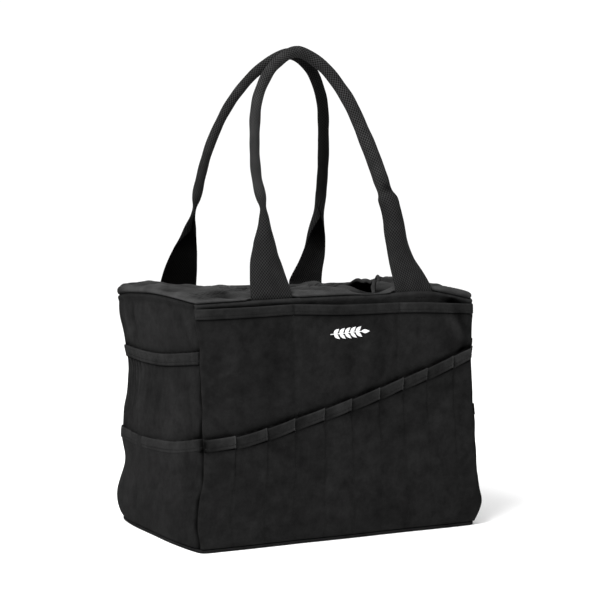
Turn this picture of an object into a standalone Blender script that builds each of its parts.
"""Garden tool bag: an open canvas tote with outside tool pockets, an elastic collar and two webbing handles.

Metres, +Z up. The front faces -Y and the left end faces -X. The origin is on the floor, under the middle of
the bag. Each layer of a side is a flat sheet at a stated depth outside that side's wall.
"""

import math

import bmesh
import bpy
from mathutils import Vector

# Body, outside faces of the four walls
END_WALL_X = 0.1593
FRONT_WALL_Y = 0.1025
BACK_WALL_Y = 0.1081
RIM_Z = 0.2635

# Cloth
FIT_GAP = 0.0003
WALL_THICK = 0.0012
POCKET_THICK = 0.0010
POCKET_DEPTH = 0.0046
LAYER_PITCH = POCKET_DEPTH + POCKET_THICK
BINDING_THICK = 0.0018
BINDING_HEIGHT = 0.013
SEAM_WIDTH = 0.0012

# Base
BASE_SKIN = 0.0016
BASE_EDGE = 0.0037
BASE_CORNER = 0.010
SEAM_ROUNDNESS = 0.75
BOARD_THICK = 0.0025
LINING_THICK = 0.0008
PANEL_FOOT = BASE_EDGE + FIT_GAP

# Front pockets
FRONT_POCKET_TOP = 0.2570
FRONT_DIVIDERS = (-0.057, 0.072)
TOOL_TOP_CURVE = ((-0.158, 0.1200), (-0.120, 0.1225), (-0.060, 0.1375), (0.100, 0.1810), (0.158, 0.2010))
TOOL_SLOT_DIVIDERS = (-0.1343, -0.0960, -0.0620, -0.0257, 0.0083, 0.0445, 0.0755, 0.1063, 0.1418)

# Back pocket
BACK_POCKET_TOP = 0.150
BACK_DIVIDERS = (-0.055, 0.055)

# End pockets: top edge at the front corner and at the back corner
UPPER_POCKET_TOP = (0.210, 0.199)
LOWER_POCKET_TOP = {"left": (0.119, 0.106), "right": (0.136, 0.123)}
LOWER_POCKET_DIVIDER_Y = 0.040
ELASTIC_THICK = 0.0006
ELASTIC_HEIGHT = 0.006

# Rim
HEM_HEIGHT = 0.018
HEM_THICK = 0.0010
HEM_CORNER = 0.006

# Collar: how far in from the hem and how high above the rim each ring of it lies
COLLAR_THICK = 0.0008
COLLAR_PROFILE = (
    (0.0, -0.016),
    (0.0, -0.001),
    (0.004, 0.0045),
    (0.014, 0.0085),
    (0.032, 0.0080),
    (0.050, 0.0055),
)
CASING_REACH = 0.011
CASING_THICK = 0.0007
COLLAR_ELASTIC_WIDTH = 0.007
COLLAR_ELASTIC_THICK = 0.0010
RING_STEPS = 12
CORNER_STEPS = 5

# Handles: the middle of each, and half the spacing of its feet and of its waists
HANDLES = {"front": (0.007, 0.088, 0.077), "back": (-0.013, 0.0825, 0.081)}
WEBBING_WIDTH = 0.048
WEBBING_THICK = 0.0016
ANCHOR_LENGTH = 0.034
HINGE_LIFT = 0.0030
FOOT_LIFT = 0.0012
WAIST_Z = 0.362
CROWN_Z = 0.529
CROWN_Y = 0.009
ROLLED_LENGTH = 0.037
ROLLED_ANGLE = 5.9
FLAT_ANGLE = 0.02
FLAT_PART = 0.04
ROLLED_PART = 0.94
CORE_RADIUS = 0.0048
CORE_START = 0.012
LEG_STEPS = 8
ARCH_STEPS = 24
BAND_STEPS = 12
CORE_SIDES = 10
BISECTIONS = 40
SMOOTH_BELOW = math.radians(40)

# Finishes: colour, roughness
CANVAS = ((0.012, 0.012, 0.013, 1.0), 0.90)
BINDING_TAPE = ((0.016, 0.016, 0.017, 1.0), 0.85)
WEBBING = ((0.020, 0.020, 0.021, 1.0), 0.85)
LINING = ((0.020, 0.020, 0.022, 1.0), 0.90)
BOARD = ((0.080, 0.080, 0.085, 1.0), 0.55)
ELASTIC = ((0.030, 0.030, 0.032, 1.0), 0.70)
CORD = ((0.030, 0.029, 0.028, 1.0), 0.90)
THREAD = ((0.018, 0.018, 0.019, 1.0), 0.70)


def clear_scene():
    """Start from an empty scene."""
    for old in list(bpy.data.objects):
        bpy.data.objects.remove(old, do_unlink=True)


def make_material(name, finish):
    """A Principled material of one piece's own."""
    colour, roughness = finish
    material = bpy.data.materials.new(name + "_material")
    material.use_nodes = True
    shader = material.node_tree.nodes["Principled BSDF"]
    shader.inputs["Base Color"].default_value = colour
    shader.inputs["Roughness"].default_value = roughness
    shader.inputs["Metallic"].default_value = 0.0
    return material


def add_object(name, bm, finish, smooth=False):
    """Turn a bmesh into a named object with outward faces."""
    bmesh.ops.recalc_face_normals(bm, faces=bm.faces)
    mesh = bpy.data.meshes.new(name)
    bm.to_mesh(mesh)
    bm.free()
    if smooth:
        mesh.shade_smooth()
        mesh.set_sharp_from_angle(angle=SMOOTH_BELOW)
    mesh.materials.append(make_material(name, finish))
    made = bpy.data.objects.new(name, mesh)
    bpy.context.scene.collection.objects.link(made)
    return made


def prism(name, outline, place, low, high, finish):
    """A flat sheet: an outline of (u, v) points between two depths, set out by place(u, v, depth)."""
    bm = bmesh.new()
    inner = [bm.verts.new(place(u, v, low)) for u, v in outline]
    outer = [bm.verts.new(place(u, v, high)) for u, v in outline]
    bm.faces.new(inner)
    bm.faces.new(reversed(outer))
    count = len(outline)
    for k in range(count):
        after = (k + 1) % count
        bm.faces.new((inner[k], outer[k], outer[after], inner[after]))
    return add_object(name, bm, finish)


def side_place(side):
    """place(u, z, depth) for a side. Depth is measured outward from the wall's outside face."""
    if side == "front":
        return lambda u, z, depth: Vector((u, -FRONT_WALL_Y - depth, z))
    if side == "back":
        return lambda u, z, depth: Vector((u, BACK_WALL_Y + depth, z))
    if side == "left":
        return lambda u, z, depth: Vector((-END_WALL_X - depth, u, z))
    return lambda u, z, depth: Vector((END_WALL_X + depth, u, z))


def level_place(x, y, height):
    """place(u, v, depth) for a sheet that lies level."""
    return Vector((x, y, height))


def side_span(side):
    """The lowest and highest u of a side's sheets, between the corner seams."""
    if side in ("front", "back"):
        reach = END_WALL_X - WALL_THICK - FIT_GAP
        return -reach, reach
    return -FRONT_WALL_Y + WALL_THICK + FIT_GAP, BACK_WALL_Y - WALL_THICK - FIT_GAP


def layer_depths(layer):
    """Inner and outer depth of pocket layer 1 or 2 outside the wall."""
    inner = POCKET_DEPTH + (layer - 1) * LAYER_PITCH
    return inner, inner + POCKET_THICK


def curve_height(points, u):
    """Height of a broken line at u."""
    for (u0, z0), (u1, z1) in zip(points, points[1:]):
        if u <= u1 or (u1, z1) == points[-1]:
            return z0 + (z1 - z0) * (u - u0) / (u1 - u0)
    return points[-1][1]


def wall(side):
    """One wall of the body, from the base to the rim."""
    low, high = side_span(side)
    outline = ((low, PANEL_FOOT), (high, PANEL_FOOT), (high, RIM_Z), (low, RIM_Z))
    name = side + ("_wall" if side in ("front", "back") else "_end_wall")
    prism(name, outline, side_place(side), -WALL_THICK, 0.0, CANVAS)


def top_points(side, top_curve):
    """The top edge's points, cut to the side's own width."""
    low, high = side_span(side)
    middle = [(u, z) for u, z in top_curve if low < u < high]
    return [(low, curve_height(top_curve, low)), *middle, (high, curve_height(top_curve, high))]


def pocket(name, side, layer, top_curve):
    """A patch pocket: its panel, and the binding along its top edge."""
    inner, outer = layer_depths(layer)
    top = top_points(side, top_curve)
    low, high = side_span(side)
    edge = [(u, z - BINDING_HEIGHT - FIT_GAP) for u, z in reversed(top)]
    outline = [(low, PANEL_FOOT), (high, PANEL_FOOT), *edge]
    prism(name + "_panel", outline, side_place(side), inner, outer, CANVAS)
    under = [(u, z - BINDING_HEIGHT) for u, z in top]
    strip = [*under, *reversed(top)]
    prism(name + "_binding", strip, side_place(side), inner, inner + BINDING_THICK, BINDING_TAPE)


def divider(name, side, layer, u, top_curve):
    """A stitched divider that closes a pocket from its foot to its mouth."""
    inner = layer_depths(layer)[0]
    behind = inner - POCKET_DEPTH
    half = SEAM_WIDTH / 2
    top = curve_height(top_curve, u) - 2 * SEAM_WIDTH
    outline = ((u - half, PANEL_FOOT), (u + half, PANEL_FOOT), (u + half, top), (u - half, top))
    prism(name, outline, side_place(side), behind + FIT_GAP, inner - FIT_GAP, THREAD)


def level_curve(side, height):
    """A level top edge."""
    low, high = side_span(side)
    return ((low, height), (high, height))


def front_pockets():
    """The tall pocket behind, and the slanting tool pocket with its ten slots in front of it."""
    tall = level_curve("front", FRONT_POCKET_TOP)
    pocket("front_pocket", "front", 1, tall)
    for label, u in zip(("left", "right"), FRONT_DIVIDERS):
        divider("front_pocket_divider_" + label, "front", 1, u, tall)
    pocket("tool_pocket", "front", 2, TOOL_TOP_CURVE)
    for k, x in enumerate(TOOL_SLOT_DIVIDERS, 1):
        divider(f"tool_slot_divider_{k}", "front", 2, x, TOOL_TOP_CURVE)


def back_pockets():
    """One low pocket in three parts."""
    top = level_curve("back", BACK_POCKET_TOP)
    pocket("back_pocket", "back", 1, top)
    for label, u in zip(("left", "right"), BACK_DIVIDERS):
        divider("back_pocket_divider_" + label, "back", 1, u, top)


def elastic_channel(name, side, top):
    """The upper pocket's binding as a folded tape, open below, with the elastic strip inside it."""
    inner = layer_depths(1)[0]
    skin = (BINDING_THICK - ELASTIC_THICK - 2 * FIT_GAP) / 2
    place = side_place(side)
    section = (
        (inner, -BINDING_HEIGHT),
        (inner + skin, -BINDING_HEIGHT),
        (inner + skin, -skin),
        (inner + BINDING_THICK - skin, -skin),
        (inner + BINDING_THICK - skin, -BINDING_HEIGHT),
        (inner + BINDING_THICK, -BINDING_HEIGHT),
        (inner + BINDING_THICK, 0.0),
        (inner, 0.0),
    )
    bm = bmesh.new()
    ends = [[bm.verts.new(place(u, z + drop, depth)) for depth, drop in section] for u, z in top]
    count = len(section)
    for k in range(count):
        after = (k + 1) % count
        bm.faces.new((ends[0][k], ends[1][k], ends[1][after], ends[0][after]))
    bm.faces.new(ends[0])
    bm.faces.new(reversed(ends[1]))
    add_object(name + "_binding", bm, BINDING_TAPE)

    high = -skin - FIT_GAP
    strip = [(u, z + high - ELASTIC_HEIGHT) for u, z in top] + [(u, z + high) for u, z in reversed(top)]
    start = inner + skin + FIT_GAP
    prism(name + "_elastic", strip, place, start, start + ELASTIC_THICK, ELASTIC)


def end_pockets(side):
    """The gathered upper pocket and, in front of it, the lower pocket in two parts."""
    low, high = side_span(side)
    upper = ((low, UPPER_POCKET_TOP[0]), (high, UPPER_POCKET_TOP[1]))
    lower = tuple(zip((low, high), LOWER_POCKET_TOP[side]))
    inner, outer = layer_depths(1)
    edge = [(u, z - BINDING_HEIGHT - FIT_GAP) for u, z in reversed(upper)]
    outline = [(low, PANEL_FOOT), (high, PANEL_FOOT), *edge]
    prism(side + "_upper_pocket_panel", outline, side_place(side), inner, outer, CANVAS)
    elastic_channel(side + "_upper_pocket", side, upper)
    pocket(side + "_lower_pocket", side, 2, lower)
    divider(side + "_lower_pocket_divider", side, 2, LOWER_POCKET_DIVIDER_Y, lower)


def corner_seam(name, x_sign, y_wall, y_sign, layers):
    """The bundle of turned-in edges at one upright corner, round on the outside."""
    x0 = END_WALL_X - WALL_THICK
    x1 = END_WALL_X + 2 * LAYER_PITCH
    y0 = y_wall - WALL_THICK
    y1 = y_wall + layers * LAYER_PITCH
    radius = SEAM_ROUNDNESS * (y1 - y0)
    outline = [(x0, y0), (x1, y0)]
    for step in range(CORNER_STEPS + 1):
        angle = math.radians(90 * step / CORNER_STEPS)
        outline.append((x1 - radius + radius * math.cos(angle), y1 - radius + radius * math.sin(angle)))
    outline.append((x0, y1))
    prism(
        "corner_seam_" + name,
        outline,
        lambda x, y, z: Vector((x_sign * x, y_sign * y, z)),
        PANEL_FOOT,
        RIM_Z,
        CANVAS,
    )


def rounded_ring(half_x, y_low, y_high, radius, steps, z):
    """Points round a rectangle with round corners, anticlockwise from above."""
    centres = (
        (half_x - radius, y_high - radius, 0),
        (-half_x + radius, y_high - radius, 90),
        (-half_x + radius, y_low + radius, 180),
        (half_x - radius, y_low + radius, 270),
    )
    points = []
    for x, y, start in centres:
        for step in range(steps):
            angle = math.radians(start + 90 * step / (steps - 1))
            points.append(Vector((x + radius * math.cos(angle), y + radius * math.sin(angle), z)))
    return points


def inset_ring(inset, radius, steps, z):
    """A ring inside the walls' outside faces."""
    return rounded_ring(
        END_WALL_X - inset, -FRONT_WALL_Y + inset, BACK_WALL_Y - inset, radius, steps, z
    )


def closed_loft(name, loops, finish, smooth=False):
    """A ring-shaped solid whose section is a closed run of loops, each loop going round the bag."""
    bm = bmesh.new()
    rows = [[bm.verts.new(point) for point in loop] for loop in loops]
    count = len(rows[0])
    for k, row in enumerate(rows):
        below = rows[(k + 1) % len(rows)]
        for j in range(count):
            after = (j + 1) % count
            bm.faces.new((row[j], row[after], below[after], below[j]))
    return add_object(name, bm, finish, smooth)


def base():
    """The base panel with its turned-up edge, the board that keeps it flat, and the lining over the board."""
    half_x = END_WALL_X + 2 * LAYER_PITCH
    y_low = -FRONT_WALL_Y - 2 * LAYER_PITCH
    y_high = BACK_WALL_Y + LAYER_PITCH
    edge_in = WALL_THICK + 2 * FIT_GAP

    bm = bmesh.new()
    outer_low, outer_high = (
        [bm.verts.new(p) for p in rounded_ring(half_x, y_low, y_high, BASE_CORNER, CORNER_STEPS, z)]
        for z in (0.0, BASE_EDGE)
    )
    inner_high, inner_low = (
        [bm.verts.new(p) for p in inset_ring(edge_in, HEM_CORNER, CORNER_STEPS, z)]
        for z in (BASE_EDGE, BASE_SKIN)
    )
    count = len(outer_low)
    for first, second in ((outer_low, outer_high), (outer_high, inner_high), (inner_high, inner_low)):
        for k in range(count):
            after = (k + 1) % count
            bm.faces.new((first[k], first[after], second[after], second[k]))
    bm.faces.new(reversed(outer_low))
    bm.faces.new(inner_low)
    add_object("base_panel", bm, CANVAS)

    board_low = BASE_SKIN + FIT_GAP
    board_high = board_low + BOARD_THICK
    board = [(p.x, p.y) for p in inset_ring(edge_in + FIT_GAP, HEM_CORNER, CORNER_STEPS, 0.0)]
    prism("base_board", board, level_place, board_low, board_high, BOARD)
    lining_low = board_high + FIT_GAP
    prism("base_lining", board, level_place, lining_low, lining_low + LINING_THICK, LINING)


def hem_inset():
    """How far inside the walls' outside faces the hem lies: the webbing ends fit between it and the wall."""
    return WALL_THICK + WEBBING_THICK + 2 * FIT_GAP


def rim_hem():
    """The band sewn round the inside of the rim, over the handles' ends."""
    outer = hem_inset()
    inner = outer + HEM_THICK
    foot = RIM_Z - HEM_HEIGHT
    loops = (
        inset_ring(outer, HEM_CORNER, CORNER_STEPS, foot),
        inset_ring(outer, HEM_CORNER, CORNER_STEPS, RIM_Z),
        inset_ring(inner, HEM_CORNER - HEM_THICK, CORNER_STEPS, RIM_Z),
        inset_ring(inner, HEM_CORNER - HEM_THICK, CORNER_STEPS, foot),
    )
    closed_loft("rim_hem", loops, CANVAS)


def collar_ring(inward, z):
    """One loop of the collar. Its corners open out as it comes inward."""
    inset = hem_inset() + HEM_THICK + FIT_GAP + inward
    radius = HEM_CORNER - HEM_THICK + 0.5 * inward
    return inset_ring(inset, radius, RING_STEPS, z)


def collar():
    """The soft collar: it rises from the hem and lies inward, ending in a casing that holds the elastic."""
    outside = []
    inside = []
    for k, (inward, height) in enumerate(COLLAR_PROFILE):
        lying = min(1.0, k / 3)
        outside.append(collar_ring(inward, RIM_Z + height))
        inside.append(
            collar_ring(inward + COLLAR_THICK * (1 - 0.5 * lying), RIM_Z + height - COLLAR_THICK * lying)
        )
    closed_loft("collar", outside + inside[::-1], CANVAS, smooth=True)

    edge, height = COLLAR_PROFILE[-1]
    start = edge + COLLAR_THICK
    top = RIM_Z + height
    tall = COLLAR_ELASTIC_THICK + 2 * CASING_THICK + 2 * FIT_GAP
    stop = start + CASING_REACH
    section = (
        (start, top),
        (stop, top),
        (stop, top - CASING_THICK),
        (start + CASING_THICK, top - CASING_THICK),
        (start + CASING_THICK, top - tall + CASING_THICK),
        (stop, top - tall + CASING_THICK),
        (stop, top - tall),
        (start, top - tall),
    )
    closed_loft("collar_casing", [collar_ring(inward, z) for inward, z in section], CANVAS)

    near = start + CASING_THICK + 2 * FIT_GAP
    far = near + COLLAR_ELASTIC_WIDTH
    high = top - CASING_THICK - FIT_GAP
    low = high - COLLAR_ELASTIC_THICK
    strip = ((near, high), (far, high), (far, low), (near, low))
    closed_loft("collar_elastic", [collar_ring(inward, z) for inward, z in strip], ELASTIC)


def curl(rolled):
    """Arc length and arc angle of the strap's section, so that its width narrows evenly as it rolls up."""
    length = WEBBING_WIDTH + (ROLLED_LENGTH - WEBBING_WIDTH) * rolled
    narrow = 2 * ROLLED_LENGTH / ROLLED_ANGLE
    width = WEBBING_WIDTH + (narrow - WEBBING_WIDTH) * rolled
    low, high = FLAT_ANGLE, ROLLED_ANGLE
    for _ in range(BISECTIONS):
        angle = (low + high) / 2
        wide = 2 * length / angle * math.sin(min(angle, math.pi) / 2)
        low, high = (angle, high) if wide > width else (low, angle)
    return length, low


class Handle:
    """One handle: where it hinges at the rim, and the plane that it stands in."""

    def __init__(self, name, side, wall_y):
        self.name = name
        self.middle, self.foot_x, self.waist_x = HANDLES[side]
        self.outward = -1 if side == "front" else 1
        centre = wall_y - WALL_THICK - FIT_GAP - WEBBING_THICK / 2
        self.hinge = Vector((self.middle, self.outward * centre, RIM_Z + HINGE_LIFT))
        crown = Vector((self.middle, self.outward * CROWN_Y, CROWN_Z))
        self.up = (crown - self.hinge).normalized()
        self.normal = Vector((-self.outward, 0, 0)).cross(self.up)
        self.waist = (WAIST_Z - self.hinge.z) / self.up.z
        self.rise = (crown - self.hinge).length - self.waist
        self.pivot = bpy.data.objects.new(name + "_pivot", None)
        self.pivot.location = self.hinge
        bpy.context.scene.collection.objects.link(self.pivot)

    def hang(self, piece):
        """Parent a piece, made round the hinge, to the empty on the hinge's axis."""
        piece.parent = self.pivot

    def path(self):
        """(x, height) points along the strap, from the left foot to the right foot."""
        legs = []
        for step in range(LEG_STEPS):
            height = FOOT_LIFT + (self.waist - FOOT_LIFT) * step / LEG_STEPS
            legs.append((self.foot_x + (self.waist_x - self.foot_x) * step / LEG_STEPS, height))
        arch = []
        for step in range(ARCH_STEPS + 1):
            angle = math.pi * step / ARCH_STEPS
            arch.append((-self.waist_x * math.cos(angle), self.waist + self.rise * math.sin(angle)))
        return [(-x, height) for x, height in legs] + arch + [(x, height) for x, height in reversed(legs)]

    def stations(self, points):
        """Frames round the hinge, along a run of (x, height) points."""
        made = []
        for k, (x, height) in enumerate(points):
            before = points[max(0, k - 1)]
            after = points[min(len(points) - 1, k + 1)]
            run = Vector((after[0] - before[0], after[1] - before[1])).normalized()
            centre = Vector((x, 0, 0)) + self.up * height
            tangent = Vector((run.x, 0, 0)) + self.up * run.y
            across = Vector((-run.y, 0, 0)) + self.up * run.x
            made.append((centre, tangent, across, height))
        made[0] = (made[0][0], self.up, Vector((-1, 0, 0)), made[0][3])
        made[-1] = (made[-1][0], -self.up, Vector((1, 0, 0)), made[-1][3])
        return made

    def webbing(self):
        """The strap: flat at the feet, curling to a split tube round the core."""
        bm = bmesh.new()
        rings = []
        for centre, _, across, height in self.stations(self.path()):
            rolled = min(1.0, max(0.0, (height / self.waist - FLAT_PART) / (ROLLED_PART - FLAT_PART)))
            length, angle = curl(rolled)
            radius = length / angle
            lift = rolled * min(radius, ROLLED_LENGTH / ROLLED_ANGLE)
            ring = []
            for offset, order in ((0.5, 1), (-0.5, -1)):
                for step in range(BAND_STEPS + 1)[::order]:
                    turn = angle * (step / BAND_STEPS - 0.5)
                    reach = radius + offset * WEBBING_THICK
                    out = reach * math.cos(turn) - radius + lift
                    point = centre + across * (reach * math.sin(turn)) + self.normal * out
                    ring.append(bm.verts.new(point))
            rings.append(ring)
        count = len(rings[0])
        for first, second in zip(rings, rings[1:]):
            for k in range(count):
                after = (k + 1) % count
                bm.faces.new((first[k], first[after], second[after], second[k]))
        bm.faces.new(rings[0])
        bm.faces.new(reversed(rings[-1]))
        self.hang(add_object(self.name + "_webbing", bm, WEBBING, smooth=True))

    def core(self):
        """The cord inside the rolled grip."""
        start = CORE_START / self.rise
        points = []
        for step in range(ARCH_STEPS + 1):
            angle = start + (math.pi - 2 * start) * step / ARCH_STEPS
            points.append((-self.waist_x * math.cos(angle), self.waist + self.rise * math.sin(angle)))
        bm = bmesh.new()
        rings = []
        for centre, _, across, _ in self.stations(points):
            ring = []
            for k in range(CORE_SIDES):
                turn = 2 * math.pi * k / CORE_SIDES
                point = centre + (across * math.cos(turn) + self.normal * math.sin(turn)) * CORE_RADIUS
                ring.append(bm.verts.new(point))
            rings.append(ring)
        for first, second in zip(rings, rings[1:]):
            for k in range(CORE_SIDES):
                after = (k + 1) % CORE_SIDES
                bm.faces.new((first[k], first[after], second[after], second[k]))
        bm.faces.new(rings[0])
        bm.faces.new(reversed(rings[-1]))
        self.hang(add_object(self.name + "_core", bm, CORD, smooth=True))

    def anchors(self):
        """The two ends of the webbing, sewn between the wall and the hem."""
        inner = abs(self.hinge.y) - WEBBING_THICK / 2
        for label, sign in (("left", -1), ("right", 1)):
            low = self.middle + sign * self.foot_x - WEBBING_WIDTH / 2
            high = low + WEBBING_WIDTH
            foot = RIM_Z - ANCHOR_LENGTH
            outline = ((low, foot), (high, foot), (high, RIM_Z), (low, RIM_Z))
            prism(
                f"{self.name}_anchor_{label}",
                outline,
                lambda u, z, depth: Vector((u, self.outward * depth, z)),
                inner,
                inner + WEBBING_THICK,
                WEBBING,
            )


def build():
    """Make every piece."""
    clear_scene()
    base()
    for side in ("front", "back", "left", "right"):
        wall(side)
    front_pockets()
    back_pockets()
    end_pockets("left")
    end_pockets("right")
    for label, x_sign in (("left", -1), ("right", 1)):
        corner_seam("front_" + label, x_sign, FRONT_WALL_Y, -1, 2)
        corner_seam("back_" + label, x_sign, BACK_WALL_Y, 1, 1)
    rim_hem()
    collar()
    for side, wall_y in (("front", FRONT_WALL_Y), ("back", BACK_WALL_Y)):
        handle = Handle(side + "_handle", side, wall_y)
        handle.webbing()
        handle.core()
        handle.anchors()


build()
